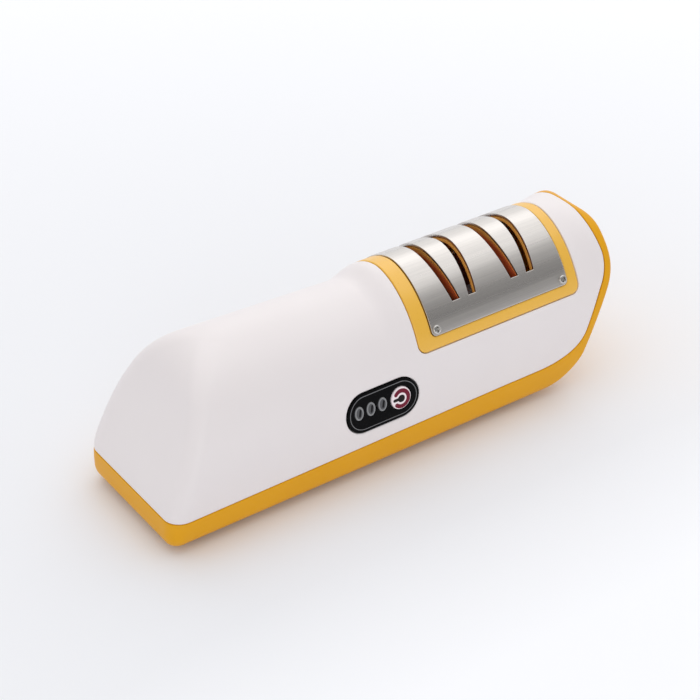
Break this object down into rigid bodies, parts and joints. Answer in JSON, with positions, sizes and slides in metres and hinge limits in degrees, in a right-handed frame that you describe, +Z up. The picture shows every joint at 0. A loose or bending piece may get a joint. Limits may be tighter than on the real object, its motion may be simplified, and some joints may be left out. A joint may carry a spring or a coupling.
{
  "type": "electric knife sharpener",
  "caption": "Cordless electric knife sharpener: rounded housing on a tray, guide head with blade slots over driven abrasive wheels, side panel with a push button.",
  "frame": {"origin": "centre of the body's footprint, on the surface that the feet stand on", "axes": "+X along the body from the handle end to the guide head, +Y away from the control panel, +Z up"},
  "size_m": [0.18, 0.0553, 0.06],
  "materials": {
    "white_shell": "satin moulded ABS, warm white",
    "yellow_shell": "satin moulded ABS, golden yellow",
    "brushed_plate": "stainless sheet brushed along its length",
    "screw_steel": "nickel-plated screw",
    "black_panel": "gloss black",
    "button_face": "white rim and dark red printed face",
    "smoked_lens": "smoked translucent lens",
    "led_body": "clear epoxy",
    "fine_abrasive": "bonded fine grit, matt",
    "coarse_abrasive": "bonded coarse grit, matt",
    "steel": "zinc-plated steel",
    "bronze": "sintered bronze, oiled",
    "black_nylon": "moulded nylon",
    "nickel_strip": "nickel-plated sheet",
    "cell_sleeve": "blue heat-shrink sleeve on a steel can",
    "circuit_board": "green solder mask on glass laminate",
    "foot_rubber": "matt black rubber"
  },
  "bodies": {
    "housing": {"upper_shell": "white_shell", "base_tray": "yellow_shell", "guide_frame": "yellow_shell", "guide_plate": "brushed_plate", "plate_screw_1": "screw_steel", "plate_screw_2": "screw_steel", "plate_screw_3": "screw_steel", "plate_screw_4": "screw_steel", "bearing_bracket_left": "steel", "bearing_bracket_right": "steel", "bush_left": "bronze", "bush_right": "bronze", "motor_can": "steel", "motor_end_cap": "black_nylon", "motor_cradle": "black_nylon", "motor_strap": "nickel_strip", "battery_cell": "cell_sleeve", "battery_tab_minus": "nickel_strip", "battery_tab_plus": "nickel_strip", "control_panel": "black_panel", "indicator_lens_1": "smoked_lens", "indicator_lens_2": "smoked_lens", "indicator_lens_3": "smoked_lens", "led_1": "led_body", "led_2": "led_body", "led_3": "led_body", "control_board": "circuit_board", "tact_switch": "black_nylon", "charging_board": "circuit_board", "charging_socket": "nickel_strip", "rubber_foot_1": "foot_rubber", "rubber_foot_2": "foot_rubber", "rubber_foot_3": "foot_rubber", "rubber_foot_4": "foot_rubber", "base_screw_1": "screw_steel", "base_screw_2": "screw_steel", "base_screw_3": "screw_steel", "base_screw_4": "screw_steel"},
    "rotor": {"drive_shaft": "steel", "wheel_fine": "fine_abrasive", "wheel_coarse": "coarse_abrasive", "wheel_spacer": "steel", "shaft_nut": "steel", "shaft_coupling": "black_nylon", "motor_shaft": "steel"},
    "button": {"power_button": "button_face", "switch_plunger": "black_nylon"}
  },
  "joints": [
    {"name": "wheel_spin", "type": "hinge", "parent": "housing", "child": "rotor", "pos_m": [0.0409, 0, 0.0335], "axis": [1, 0, 0], "continuous": true},
    {"name": "button_press", "type": "slide", "parent": "housing", "child": "button", "axis": [0, 1, 0], "range_m": [0, 0.0008], "stiffness_N_per_m": 1500}
  ]
}
